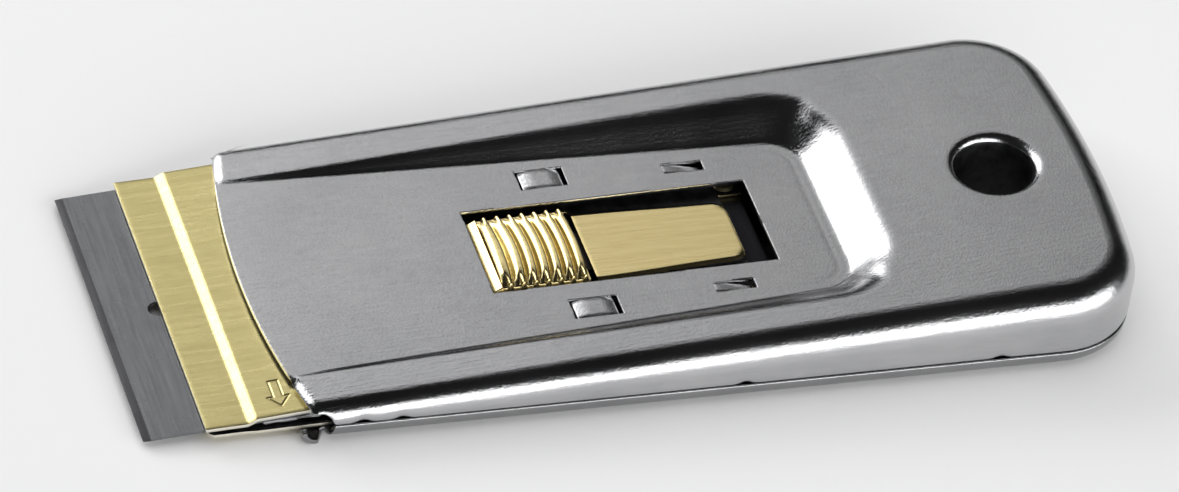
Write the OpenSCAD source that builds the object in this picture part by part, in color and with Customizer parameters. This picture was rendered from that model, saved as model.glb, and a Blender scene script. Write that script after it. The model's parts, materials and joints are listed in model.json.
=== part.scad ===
// Retractable single-edge razor blade scraper of stamped sheet metal.
// A nickel-plated two-piece case holds a brass-coloured blade carrier, which a
// ribbed thumb slide pushes out of the front of the case and pulls back in.
//
// Frame: +X from the blade to the butt, +Y across, +Z up. The origin is at the
// middle of the length and width, level with the lowest point. Stations along
// the length are measured from the cutting edge with the blade pushed out.

/* [Case] */
// Overall length, from the cutting edge to the butt, with the blade out
overall_len = 109.8; // [106:0.1:114]
// Station of the middle of the crowned front edge of the case
mouth_at = 14.95; // [14:0.05:15.5]
// Station of the case's front corners
corner_at = 17.5; // [17:0.1:18]
// Half the width of the case at its front corners
front_half_w = 21.45; // [21.2:0.05:22.5]
// Half the width of the case where the butt corners begin
butt_half_w = 22.55; // [22:0.05:24]
// Radius of the two butt corners
butt_corner_r = 9.5; // [6:0.5:11]
// Radius of the crowned butt edge, seen from above
butt_r = 110; // [60:5:200]
// Thickness of the top shell's sheet
sheet = 0.55; // [0.5:0.05:0.6]
// Thickness of the bottom shell's sheet
floor_sheet = 0.5; // [0.4:0.05:0.5]
// Radius of the rails' outer edge
rail_edge_r = 1.6; // [1:0.1:2]
// Height of the rail tops at the front corners, above the flat underside
rail_front_h = 4.0; // [3.9:0.05:4.3]
// Rise of the rail tops towards the butt, in degrees
rail_rise = 3.8; // [3.4:0.1:4.0]
// Height of the seam between the shells, above the flat underside
seam_h = 2.05; // [1.8:0.05:2.2]

/* [Recess] */
// Half the width between the rails' inner edges, at rail height
recess_top_half_w = 16.1; // [15:0.1:16.5]
// Half the width of the recessed panel at the front
panel_front_half_w = 15.3; // [14.5:0.1:15.5]
// Half the width of the recessed panel at the rear
panel_rear_half_w = 11.8; // [11.5:0.1:12.5]
// Station where the panel ends and the rear wall starts
panel_end = 79.3; // [78:0.1:80]
// Length of the sloping rear wall, seen from above
rear_wall_run = 3.5; // [3:0.1:4]
// Height of the panel's top above the carrier's top face
panel_lift = 0.95; // [0.95:0.01:1.0]

/* [Window] */
// Stations of the front and rear edges of the thumb window
window_from = 40.7; // [40.4:0.1:40.8]
window_to = 72; // [71.8:0.1:72.5]
// Half the width of the thumb window
window_half_w = 6.43; // [6.3:0.01:6.6]

/* [Hang hole] */
// Station of the hang hole's centre
hole_at = 97.7; // [97.5:0.1:99]
// Radius of the hang hole
hole_r = 4.25; // [3.5:0.05:4.5]

/* [Blade] */
// Width of a standard 1 1/2 inch single-edge blade
blade_w = 38.1; // [38.0:0.1:38.2]
// Depth of the blade from its edge to the back of its spine
blade_depth = 19.05; // [18.8:0.05:19.1]
// Thickness of the blade
blade_t = 0.23; // [0.22:0.01:0.3]
// Depth of the folded spine
spine_depth = 6.35; // [5:0.05:6.4]
// Thickness of the folded spine
spine_t = 0.92; // [0.8:0.02:0.94]

/* [Carrier] */
// Tilt of the carrier's slide plane against the flat underside, in degrees
slide_tilt = 1.0; // [0.9:0.05:1.1]
// Thickness of the carrier's sheet
leaf_t = 0.38; // [0.3:0.01:0.4]
// Half the width of the carrier's nose
nose_half_w = 19.6; // [19.4:0.05:19.8]
// How far the carrier slides back to cover the blade
travel = 19.8; // [19:0.1:20]

/* [Thumb slide] */
// Number of ribs across the thumb slide
rib_count = 7; // [5:1:8]
// Height of the ribs' crests at mid width, above the carrier's top face
crest_h = 1.35; // [1.2:0.05:1.5]

/* [Hidden] */
$fn = 48;

// The bead under the mouth stands this much lower than the flat underside.
bead_drop = 0.35;
bead_r = 1.5;
bead_at = 17.9;
// The bead's open edge lies this much below the floor's inner face.
bead_rim_drop = 0.1;
// Carrier's top face at station 0, above the origin's level
leaf_z0 = 3.04;
side_gap = 0.05;
// The shell is modelled this much too long at the mouth, then trimmed.
trim = 4;
// Notch in the side walls at the mouth: height over the seam, corner radius, start
notch_h = 1.15;
notch_r = 1.25;
notch_from_corner = 0.85;

rail_slope = tan(rail_rise);
underside = bead_drop;
floor_top = underside + floor_sheet;
seam_z = underside + seam_h;
mouth_r = (pow(front_half_w, 2) + pow(corner_at - mouth_at, 2)) / (2 * (corner_at - mouth_at));
butt_corner_y = butt_half_w - butt_corner_r;
// The corner arcs meet the crowned butt edge at this angle, where both are tangent.
butt_turn = asin(butt_corner_y / (butt_r - butt_corner_r));
butt_corner_at = overall_len - butt_r + (butt_r - butt_corner_r) * cos(butt_turn);

// Saddles and stop tongues, each pair mirrored about the centre line
saddle_from = 48.1;
saddle_to = 53.3;
saddle_inner = 8.9;
saddle_outer = 11.8;
saddle_dip = 1.0;
saddle_end_gap = 0.2;
tongue_from = 64;
tongue_to = 68.2;
tongue_slot_to = 68.55;
tongue_inner = 8.87;
tongue_outer = 10.32;
tongue_drop = 1.45;
tongue_side_gap = 0.06;

// Carrier stations
lip_at = 6.47;
joggle_foot_at = 10.87;
joggle_top_at = 11.83;
flat_from = 18;
nose_rear = 27.5;
tail_overlap = 1.5;
tail_half_w = 8.6;
plateau_half_w = 5;
plateau_end = 69.3;
flange_z = -0.5;
tee_from = 68.5;
tee_to = 72;
tee_half_w = 11;
rivet_pair_at = 25;
rivet_pair_y = 12;
spring_pivot_at = 70.3;
spring_pivot_z = -1.1;
spring_t = 0.3;
spring_rivet_y = 7.6;
spring_root_top = -0.95;

// Blade's lie in the carrier: it droops towards its edge
blade_edge_z = -2.14;
blade_droop = 3.4;

// Thumb slide stations and heights
slide_from = 41.1;
slide_to = 51.7;
slide_half_w = 5.9;
slide_gap = 0.28;
slide_base_top = 0.35;
slide_base_bottom = -0.55;
rib_end_h = 0.45;
rib_first_at = 42.75;
rib_pitch = 1.42;
rib_r = 0.62;

function arc_pts(cx, cy, r, a0, a1, n) =
    [for (i = [0 : n]) let (a = a0 + (a1 - a0) * i / n) [cx + r * cos(a), cy + r * sin(a)]];

function rail_z(s) = underside + rail_front_h + (s - corner_at) * rail_slope;

// Stations run from the cutting edge, so the whole object is shifted once here.
module at_stations() {
    translate([-overall_len / 2, 0, 0]) children();
}

// The plane that the carrier slides in; z = 0 there is the carrier's top face.
module on_slide() {
    at_stations() translate([0, 0, leaf_z0]) rotate([0, -slide_tilt, 0]) children();
}

module mirrored() {
    children();
    mirror([0, 1, 0]) children();
}

// Outline of the case seen from above: crowned mouth, spreading sides, crowned butt.
// The mouth can reach further forward, for solids that are trimmed to the mouth later.
module case_outline(reach = 0) {
    half_mouth = asin(front_half_w / mouth_r);
    mouth_cx = mouth_at + mouth_r - reach;
    butt_cx = overall_len - butt_r;
    polygon(concat(
        arc_pts(mouth_cx, 0, mouth_r, 180 + half_mouth, 180 - half_mouth, 12),
        arc_pts(butt_corner_at, butt_corner_y, butt_corner_r, 90, butt_turn, 9),
        arc_pts(butt_cx, 0, butt_r, butt_turn * 0.9, -butt_turn * 0.9, 6),
        arc_pts(butt_corner_at, -butt_corner_y, butt_corner_r, -butt_turn, -90, 9)));
}

// A thin slice of the outline, drawn in by inset and sheared up along the rails.
module rail_slice(inset, drop) {
    lift = underside + rail_front_h - corner_at * rail_slope - drop;
    multmatrix([[1, 0, 0, 0], [0, 1, 0, 0], [rail_slope, 0, 1, lift], [0, 0, 0, 1]])
        linear_extrude(0.01) offset(delta = -inset) case_outline(trim);
}

// Solid wedge under the rails with its rounded upper edge
module wedge(inset, drop, bottom_z) {
    r = rail_edge_r - inset;
    hull() {
        translate([0, 0, bottom_z]) linear_extrude(0.01) offset(delta = -inset) case_outline(trim);
        for (a = [0 : 30 : 90])
            rail_slice(inset + r * (1 - cos(a)), drop + r * (1 - sin(a)));
    }
}

// Corner post of the recess tool
module post(s, y, r, z) {
    translate([s - r, y - r, z]) cylinder(h = 0.01, r = r, $fn = 32);
    translate([s - r, r - y, z]) cylinder(h = 0.01, r = r, $fn = 32);
}

// The recess between the rails, or that recess grown by one sheet thickness
module recess_tool(grow) {
    foot_z = leaf_z0 + panel_lift - grow;
    top_s = panel_end + rear_wall_run;
    foot_lift = panel_end * tan(slide_tilt);
    front_lift = mouth_at * tan(slide_tilt);
    over = 6;
    foot_r = 3;
    top_r = 5.3;
    over_w = (recess_top_half_w - panel_rear_half_w) / (rail_z(top_s) - foot_z - foot_lift);
    over_s = top_s + grow + over * 0.9;
    hull() {
        post(panel_end + grow, panel_rear_half_w + grow, foot_r + grow, foot_z + foot_lift);
        post(top_s + grow, recess_top_half_w + grow, top_r, rail_z(top_s));
        post(over_s, recess_top_half_w + grow + over * over_w, top_r, rail_z(top_s) + over);
        for (m = [-1, 1]) {
            translate([mouth_at - 2, m * (panel_front_half_w + grow) - 0.05, foot_z + front_lift])
                cube([0.1, 0.1, 0.01]);
            translate([mouth_at - 2, m * (recess_top_half_w + 7 + grow) - 0.05, rail_z(top_s) + over])
                cube([0.1, 0.1, 0.01]);
        }
    }
}

// Openings cut through the panel: thumb window, saddle windows, tongue slots
module panel_openings() {
    cut_h = panel_lift + 1.25;
    on_slide() {
        translate([window_from, -window_half_w, 0])
            cube([window_to - window_from, 2 * window_half_w, cut_h]);
        mirrored() {
            translate([saddle_from, saddle_inner, 0])
                cube([saddle_to - saddle_from, saddle_outer - saddle_inner, cut_h]);
            translate([tongue_from, tongue_inner, 0])
                cube([tongue_slot_to - tongue_from, tongue_outer - tongue_inner, cut_h]);
        }
    }
}

// Strip flush with the panel at its middle, with both ends curving down
module saddle() {
    half = (saddle_to - saddle_from) / 2 - saddle_end_gap;
    curve_r = (half * half + saddle_dip * saddle_dip) / (2 * saddle_dip);
    mid = (saddle_from + saddle_to) / 2;
    translate([mid, saddle_outer + 0.05, panel_lift - curve_r]) rotate([90, 0, 0])
        linear_extrude(saddle_outer - saddle_inner + 0.1) intersection() {
            difference() {
                circle(r = curve_r, $fn = 64);
                circle(r = curve_r - sheet, $fn = 64);
            }
            translate([-half, 0]) square([2 * half, curve_r + 1]);
        }
}

// Tongue lanced from the panel, hinged at its front end and bent down
module stop_tongue() {
    bend = atan(tongue_drop / (tongue_to - tongue_from));
    len = (tongue_to - tongue_from) / cos(bend);
    width = tongue_outer - tongue_inner - 2 * tongue_side_gap;
    translate([tongue_from - 0.1, tongue_inner + tongue_side_gap, panel_lift]) rotate([0, bend, 0])
        translate([0, 0, -sheet]) cube([len, width, sheet]);
}

// Cut that opens the side walls at the front corners, for passing the blade through
module side_notch() {
    centre_z = seam_z + notch_h - notch_r;
    translate([corner_at - trim, -30, -1])
        cube([trim + notch_from_corner, 60, 1 + seam_z + notch_h]);
    translate([corner_at + notch_from_corner, -30, centre_z]) rotate([-90, 0, 0])
        cylinder(h = 60, r = notch_r);
}

// Everything in front of the crowned mouth edge
module mouth_trim() {
    difference() {
        translate([mouth_at - 2 * trim, -30, -1]) cube([30, 60, 16]);
        translate([mouth_at + mouth_r, 0, -2]) cylinder(h = 18, r = mouth_r, $fn = 240);
    }
}

module top_shell() {
    color("silver") {
        difference() {
            at_stations() union() {
                difference() {
                    wedge(0, 0, seam_z);
                    recess_tool(0);
                    difference() {
                        wedge(sheet, sheet, seam_z - 1);
                        recess_tool(sheet);
                    }
                }
                hole_collar();
            }
            panel_openings();
            at_stations() translate([hole_at, 0, -1]) cylinder(h = 16, r = hole_r);
            at_stations() side_notch();
            at_stations() mouth_trim();
        }
        on_slide() mirrored() {
            saddle();
            stop_tongue();
        }
    }
}

// Collar rolled down through the case round the hang hole
module hole_collar() {
    bottom = floor_top + side_gap;
    translate([hole_at, 0, bottom])
        cylinder(h = rail_z(hole_at) - sheet / 2 - bottom, r = hole_r + sheet);
}

module bottom_shell() {
    wall = 0.6;
    rim_front = corner_at + 2.2;
    bead_len = 2 * (front_half_w - wall);
    color("gainsboro") at_stations() difference() {
        union() {
            translate([0, 0, underside]) linear_extrude(floor_sheet) floor_outline(0);
            translate([0, 0, underside]) linear_extrude(seam_h - side_gap) difference() {
                floor_outline(0);
                floor_outline(wall);
                translate([-10, -40]) square([rim_front + 10, 80]);
            }
            translate([bead_at, bead_len / 2, bead_r]) rotate([90, 0, 0])
                cylinder(h = bead_len, r = bead_r);
        }
        translate([bead_at, 30, bead_r]) rotate([90, 0, 0])
            cylinder(h = 60, r = bead_r - floor_sheet);
        translate([bead_at - 6, -30, floor_top - bead_rim_drop]) cube([6 + bead_r + 0.1, 60, 5]);
        translate([hole_at, 0, -1]) cylinder(h = 6, r = hole_r);
    }
}

// Outline of the floor, drawn in by inset
module floor_outline(inset) {
    difference() {
        offset(delta = -inset) case_outline();
        translate([-10, -40]) square([bead_at + 10, 80]);
    }
}

// Side view of the upper leaf: lip, joggle, climb to the flat
module upper_leaf_side() {
    foot_z = -0.98;
    lip_z = -1.08;
    top_z = -0.425;
    polygon([
        [lip_at, lip_z], [joggle_foot_at, foot_z], [joggle_top_at, top_z], [flat_from, 0],
        [nose_rear, 0], [nose_rear, -leaf_t], [flat_from, -leaf_t],
        [joggle_top_at + 0.1, top_z - leaf_t], [joggle_foot_at + 0.1, foot_z - leaf_t],
        [lip_at, lip_z - leaf_t]]);
}

// Cross-section of the tail: a raised plateau between two lower flanges
module tail_section(half_w) {
    step = 0.6;
    polygon([
        [-half_w, flange_z], [-plateau_half_w - step, flange_z], [-plateau_half_w, 0],
        [plateau_half_w, 0], [plateau_half_w + step, flange_z], [half_w, flange_z],
        [half_w, flange_z - leaf_t], [plateau_half_w + step - 0.1, flange_z - leaf_t],
        [plateau_half_w - 0.1, -leaf_t], [-plateau_half_w + 0.1, -leaf_t],
        [-plateau_half_w - step + 0.1, flange_z - leaf_t], [-half_w, flange_z - leaf_t]]);
}

module along(from, to) {
    translate([from, 0, 0]) rotate([90, 0, 90]) linear_extrude(to - from) children();
}

module upper_leaf() {
    color("darkkhaki") on_slide() difference() {
        union() {
            translate([0, nose_half_w, 0]) rotate([90, 0, 0])
                linear_extrude(2 * nose_half_w) upper_leaf_side();
            along(nose_rear - tail_overlap, tee_from + 0.1) tail_section(tail_half_w);
            along(tee_from, tee_to) tail_section(tee_half_w);
        }
        translate([slide_from - 0.7, -slide_half_w - slide_gap, -2])
            cube([slide_to - slide_from + 1.6, 2 * (slide_half_w + slide_gap), 4]);
        translate([plateau_end, -plateau_half_w - 1, -2]) cube([5, 2 * plateau_half_w + 2, 4]);
        mirrored() {
            translate([rivet_pair_at, rivet_pair_y, -3]) cylinder(h = 6, r = 1);
            translate([spring_pivot_at, spring_rivet_y, -3]) cylinder(h = 6, r = 0.6);
        }
        stamped_arrow();
    }
}

// Shallow outline arrow stamped in the nose, pointing to the side the blade goes out
module stamped_arrow() {
    depth = 0.08;
    line = 0.16;
    translate([14.2, -14.6, -0.26]) rotate([0, -4, 0]) linear_extrude(1) difference() {
        arrow_2d(0);
        arrow_2d(line);
    }
}

module arrow_2d(inset) {
    offset(delta = -inset) polygon([
        [-0.55, 2], [0.55, 2], [0.55, -0.6], [1.2, -0.6], [0, -2], [-1.2, -0.6], [-0.55, -0.6]]);
}

module lower_leaf() {
    low = -2.45;
    lip = -2.35;
    rise_from = 20.2;
    rise_to = 23.2;
    top = -leaf_t;
    color("darkkhaki") on_slide() difference() {
        translate([0, nose_half_w - 0.05, 0]) rotate([90, 0, 0])
            linear_extrude(2 * nose_half_w - 0.1) polygon([
                [lip_at + 0.35, lip + leaf_t], [joggle_foot_at, lip + leaf_t],
                [joggle_top_at, low + leaf_t], [rise_from, low + leaf_t], [rise_to, top],
                [nose_rear, top], [nose_rear, top - leaf_t], [rise_to + 0.2, top - leaf_t],
                [rise_from + 0.2, low], [joggle_top_at, low], [joggle_foot_at, lip],
                [lip_at + 0.35, lip]]);
        mirrored() translate([rivet_pair_at, rivet_pair_y, -3]) cylinder(h = 6, r = 1);
        mirrored() translate([lip_at, nose_half_w, -3]) rotate([0, 0, 45])
            cube([1.1, 1.1, 6], center = true);
        translate([nose_rear - tail_overlap - side_gap, -tail_half_w - 0.1, -3])
            cube([3, 2 * tail_half_w + 0.2, 6]);
    }
}

// Round-headed rivet along Z: shank from z0 to z1 with a head at both ends
module rivet(shank_r, head_r, head_h, z0, z1) {
    translate([0, 0, z0]) cylinder(h = z1 - z0, r = shank_r);
    translate([0, 0, z1]) cylinder(h = head_h, r1 = head_r, r2 = head_r * 0.7);
    translate([0, 0, z0 - head_h]) cylinder(h = head_h, r1 = head_r * 0.7, r2 = head_r);
}

module leaf_rivets() {
    color("goldenrod") on_slide() mirrored() translate([rivet_pair_at, rivet_pair_y, 0])
        rivet(1, 1.8, 0.22, -2 * leaf_t, 0);
}

module blade() {
    bevel = 0.7;
    hole_at_blade = 6.4;
    color("slategray") on_blade() difference() {
        translate([0, blade_w / 2, 0]) rotate([90, 0, 0]) linear_extrude(blade_w) polygon([
            [0, 0.01], [bevel, blade_t / 2], [blade_depth - 0.3, blade_t / 2],
            [blade_depth - 0.3, -blade_t / 2], [bevel, -blade_t / 2], [0, -0.01]]);
        translate([hole_at_blade, 0, -1]) cylinder(h = 2, r = 1.1);
    }
}

// The blade's own frame: station 0 at its cutting edge, z = 0 at its middle plane
module on_blade() {
    on_slide() translate([0, 0, blade_edge_z]) rotate([0, -blade_droop, 0]) children();
}

// Steel strip folded over the blade's back edge
module blade_spine() {
    front = blade_depth - spine_depth;
    slot = blade_t / 2;
    color("lightgray") on_blade() translate([0, blade_w / 2, 0]) rotate([90, 0, 0])
        linear_extrude(blade_w) difference() {
            translate([front, -spine_t / 2]) square([spine_depth, spine_t]);
            translate([front - 1, -slot]) square([spine_depth + 0.7, 2 * slot]);
        }
}

module thumb_slide() {
    sag = crest_h - rib_end_h;
    arch_r = (slide_half_w * slide_half_w + sag * sag) / (2 * sag);
    len = slide_to - slide_from;
    color("khaki") on_slide() union() {
        translate([slide_from, -slide_half_w, slide_base_bottom])
            cube([len, 2 * slide_half_w, slide_base_top - slide_base_bottom]);
        intersection() {
            union() {
                for (i = [0 : rib_count - 1])
                    translate([rib_first_at + i * rib_pitch, slide_half_w, crest_h - rib_r])
                        rotate([90, 0, 0]) cylinder(h = 2 * slide_half_w, r = rib_r);
                translate([slide_from + 0.5, -slide_half_w, slide_base_top - 0.1])
                    cube([len - 0.7, 2 * slide_half_w, crest_h - rib_r - slide_base_top + 0.3]);
            }
            translate([slide_from, 0, crest_h - arch_r]) rotate([0, 90, 0])
                cylinder(h = len, r = arch_r, $fn = 96);
            translate([slide_from, -slide_half_w, slide_base_top - 0.1])
                cube([len, 2 * slide_half_w, 3]);
        }
    }
}

// Leaf spring under the thumb slide, held at its rear by two rivets
module thumb_spring() {
    half_w = 3;
    root_half_w = 8.4;
    tip = 43;
    knee = 52.2;
    top = slide_base_bottom;
    color("gray") on_slide() difference() {
        union() {
            translate([0, half_w, 0]) rotate([90, 0, 0]) linear_extrude(2 * half_w) polygon([
                [tip, top], [knee, top], [spring_pivot_at - 1, spring_root_top],
                [spring_pivot_at + 1, spring_root_top],
                [spring_pivot_at + 1, spring_root_top - spring_t],
                [spring_pivot_at - 1, spring_root_top - spring_t], [knee, top - spring_t],
                [tip, top - spring_t]]);
            translate([spring_pivot_at - 1.4, -root_half_w, spring_root_top - spring_t])
                cube([2.8, 2 * root_half_w, spring_t]);
        }
        mirrored() translate([spring_pivot_at, spring_rivet_y, -3]) cylinder(h = 6, r = 0.7);
    }
}

module spring_rivets() {
    color("goldenrod") on_slide() mirrored() translate([spring_pivot_at, spring_rivet_y, 0])
        rivet(0.6, 1.15, 0.2, spring_root_top - spring_t - 0.06, flange_z);
}

top_shell();
bottom_shell();
upper_leaf();
lower_leaf();
leaf_rivets();
blade();
blade_spine();
thumb_slide();
thumb_spring();
spring_rivets();
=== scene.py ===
"""Retractable razor blade scraper: looks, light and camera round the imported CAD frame.

Lengths in this script are millimetres until a mesh is made; mesh() turns them into metres.
Stations run along the scraper from the blade's cutting edge, as in the design.
"""
import json
import math
import random

import bmesh
import bpy
import numpy as np
from mathutils import Matrix, Vector

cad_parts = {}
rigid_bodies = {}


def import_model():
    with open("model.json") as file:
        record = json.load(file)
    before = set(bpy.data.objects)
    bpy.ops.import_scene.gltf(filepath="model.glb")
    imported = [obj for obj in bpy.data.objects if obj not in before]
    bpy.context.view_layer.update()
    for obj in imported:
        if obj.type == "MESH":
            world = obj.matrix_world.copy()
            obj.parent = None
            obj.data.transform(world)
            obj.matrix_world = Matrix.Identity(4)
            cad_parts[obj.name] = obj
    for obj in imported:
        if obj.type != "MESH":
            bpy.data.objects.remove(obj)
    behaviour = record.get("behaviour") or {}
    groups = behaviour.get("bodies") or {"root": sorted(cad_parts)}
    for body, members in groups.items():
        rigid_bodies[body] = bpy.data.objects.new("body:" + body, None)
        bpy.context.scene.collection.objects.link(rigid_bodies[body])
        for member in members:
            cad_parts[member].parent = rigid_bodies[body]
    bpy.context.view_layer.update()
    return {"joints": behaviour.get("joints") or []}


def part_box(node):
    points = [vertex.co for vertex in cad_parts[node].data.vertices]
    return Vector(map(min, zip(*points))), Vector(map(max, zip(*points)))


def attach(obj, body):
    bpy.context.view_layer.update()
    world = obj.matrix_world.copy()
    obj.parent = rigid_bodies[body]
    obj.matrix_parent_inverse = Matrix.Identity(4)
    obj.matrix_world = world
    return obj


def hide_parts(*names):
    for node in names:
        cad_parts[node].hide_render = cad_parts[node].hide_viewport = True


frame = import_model()

MM = 0.001
CASE_END = 109.8
EDGE_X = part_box("top_shell")[1].x / MM - CASE_END       # where station 0 lies in the frame
SLIDE_AXIS = next(j for j in frame["joints"] if j["name"] == "carrier_slide")["axis"]
SLIDE_TILT = math.atan2(SLIDE_AXIS[2], SLIDE_AXIS[0])

# Case
MOUTH_AT = 14.95
CORNER_AT = 17.5
FRONT_HALF_W = 21.45
BUTT_HALF_W = 22.55
BUTT_CORNER_R = 9.5
BUTT_R = 110.0
SHEET_T = 0.5
UNDERSIDE = 0.35
SEAM_Z = UNDERSIDE + 2.05
RAIL_FRONT_Z = UNDERSIDE + 4.0
RAIL_SLOPE = math.tan(math.radians(3.8))
LEAF_Z0 = 3.04
PANEL_LIFT = 0.95
PANEL_FRONT_HALF_W = 15.3
PANEL_REAR_HALF_W = 11.8
PANEL_END = 79.3
PANEL_CORNER_R = 3.8

# Openings in the panel: x from, x to, |y| from, |y| to
WINDOW = (40.7, 72.0, -6.43, 6.43)
SADDLE = (48.1, 53.3, 8.9, 11.8)
TONGUE = (64.0, 68.4, 8.87, 10.32)
HOLE_AT = 97.7
HOLE_R = 4.25
LIP_R = 1.0

# Seam and bead
CRIMPS_AT = (22.7, 26.9, 63.9, 92.0)
BEAD_AT = 17.95
BEAD_R = 1.62
BEAD_HALF_W = FRONT_HALF_W - 0.25
FLOOR_FROM = 19.15
FLOOR_CORNER_R = 1.7

# Carrier, in its own plane
LEAF_T = 0.38
NOSE_LIP_AT = 6.47
NOSE_END = 27.5
PLATEAU_END = 69.3
LOWER_LIP_AT = 6.82
LOWER_HALF_W = 19.55
BLADE_HALF_W = 19.05
BLADE_DEPTH = 19.05
BLADE_DROOP = 3.4
BLADE_EDGE_Z = -2.14

# Thumb slide
SLIDE_HALF_W = 5.9
RIB_COUNT = 7
RIB_PITCH = 1.36
RIBS_FROM = 42.02

MOUTH_R = (FRONT_HALF_W ** 2 + (CORNER_AT - MOUTH_AT) ** 2) / (2 * (CORNER_AT - MOUTH_AT))
BUTT_CORNER_Y = BUTT_HALF_W - BUTT_CORNER_R
BUTT_TURN = math.asin(BUTT_CORNER_Y / (BUTT_R - BUTT_CORNER_R))
BUTT_CORNER_AT = CASE_END - BUTT_R + (BUTT_R - BUTT_CORNER_R) * math.cos(BUTT_TURN)


# ---------------------------------------------------------------- mesh helpers

def mesh(name, points, faces):
    """A new object from points in stations and millimetres."""
    data = bpy.data.meshes.new(name)
    shift = np.array([EDGE_X, 0.0, 0.0])
    data.from_pydata([tuple(p) for p in (np.asarray(points, float) + shift) * MM], [], faces)
    data.update()
    obj = bpy.data.objects.new(name, data)
    bpy.context.scene.collection.objects.link(obj)
    return obj


def grid_faces(rows, cols, start=0, flip=False):
    """Quads of a grid whose points are stored row by row."""
    faces = []
    for r in range(rows - 1):
        for c in range(cols - 1):
            a = start + r * cols + c
            quad = (a, a + cols, a + cols + 1, a + 1)
            faces.append(quad[::-1] if flip else quad)
    return faces


def bake(obj):
    """Applies the object's modifiers to its mesh."""
    graph = bpy.context.evaluated_depsgraph_get()
    graph.update()
    data = bpy.data.meshes.new_from_object(obj.evaluated_get(graph))
    obj.modifiers.clear()
    old = obj.data
    obj.data = data
    bpy.data.meshes.remove(old)
    return obj


def thicken(obj, materials, thickness, edge, rim=0):
    """Gives a surface its sheet thickness on the inner side, with softened cut edges."""
    for m in materials:
        obj.data.materials.append(m)
    solid = obj.modifiers.new("sheet", "SOLIDIFY")
    solid.thickness = thickness * MM
    solid.offset = -1
    solid.use_even_offset = False
    # inner faces take the next material; for the shells that is painted shade
    solid.material_offset = 1
    solid.material_offset_rim = rim
    bevel = obj.modifiers.new("edge", "BEVEL")
    bevel.width = edge * MM
    bevel.segments = 2
    bevel.limit_method = "ANGLE"
    bevel.angle_limit = math.radians(50)
    bevel.use_clamp_overlap = False
    smooth(bake(obj))
    weighted = obj.modifiers.new("normals", "WEIGHTED_NORMAL")
    weighted.keep_sharp = True
    weighted.weight = 100
    return bake(obj)


def smooth(obj, angle=38):
    """Smooth shading, kept sharp across real corners."""
    obj.data.polygons.foreach_set("use_smooth", [True] * len(obj.data.polygons))
    obj.data.set_sharp_from_angle(angle=math.radians(angle))
    return obj


def smin(a, b, k):
    """The lower of two heights, with a round blend k wide."""
    h = np.clip(k - np.abs(a - b), 0, None) / k
    return np.minimum(a, b) - h * h * k / 4


def smax(a, b, k):
    return -smin(-a, -b, k)


def ramp(x, a, b):
    """0 before a, 1 after b, smooth between."""
    t = np.clip((x - a) / (b - a), 0, 1)
    return t * t * (3 - 2 * t)


def finish_piece(obj, material, slot, body, *nodes):
    """Body and the CAD nodes that the piece stands for, and its materials if it has none yet. The slot is
    not used.
    """
    if not obj.data.materials:
        for m in material if isinstance(material, tuple) else (material,):
            obj.data.materials.append(m)
    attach(obj, body)
    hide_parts(*nodes)
    return obj


# ---------------------------------------------------------------- case surfaces

def mouth_s(y):
    """Station of the crowned front edge."""
    return MOUTH_AT + MOUTH_R - np.sqrt(MOUTH_R ** 2 - np.asarray(y, float) ** 2)


def rail_z(s):
    return RAIL_FRONT_Z + (s - CORNER_AT) * RAIL_SLOPE


def leaf_z(s):
    """Height of the plane of the carrier's top face."""
    return LEAF_Z0 + s * math.tan(SLIDE_TILT)


def panel_half_w(s):
    return PANEL_FRONT_HALF_W + (PANEL_REAR_HALF_W - PANEL_FRONT_HALF_W) * (s - 17) / (PANEL_END - 17)


def lead_drop(s, y):
    """The rails' front ends are rounded over; this is how far they drop."""
    lead = np.clip(1.0 - (s - mouth_s(y)) / 1.1, 0, 1)
    return 0.6 * lead * lead


def top_height(s, y):
    """Height of the top shell's outer face inside its rounded edge."""
    side = np.abs(y) - panel_half_w(s)
    back = s - PANEL_END
    q1 = side + PANEL_CORNER_R
    q2 = back + PANEL_CORNER_R
    outside = np.hypot(np.clip(q1, 0, None), np.clip(q2, 0, None))
    d = outside + np.minimum(np.maximum(q1, q2), 0) - PANEL_CORNER_R
    steep = 0.78 + 0.2 * ramp(back - side, -2, 2)
    panel = leaf_z(s) + PANEL_LIFT
    wall = panel + d * steep
    rail = rail_z(s)
    foot_blend = 0.16 + 0.2 * ramp(s, 60, 80)
    top_blend = 0.3 + 0.8 * ramp(s, 20, 80)
    z = smin(rail, smax(panel, wall, foot_blend), top_blend)
    groove = 0.03 * np.exp(-((d + 1.3) / 0.22) ** 2) * ramp(s, 68, 78)
    return z - lead_drop(s, y) * ramp(d, -0.4, 1.2) - groove


def edge_r(s):
    """Radius of the rails' outer edge: it grows with the height of the wall."""
    return 2.1 + 0.017 * (np.minimum(s, BUTT_CORNER_AT) - CORNER_AT)


def at(inset, s):
    """An inset may be a number or depend on the station."""
    return float(inset(s)) if callable(inset) else inset


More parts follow.
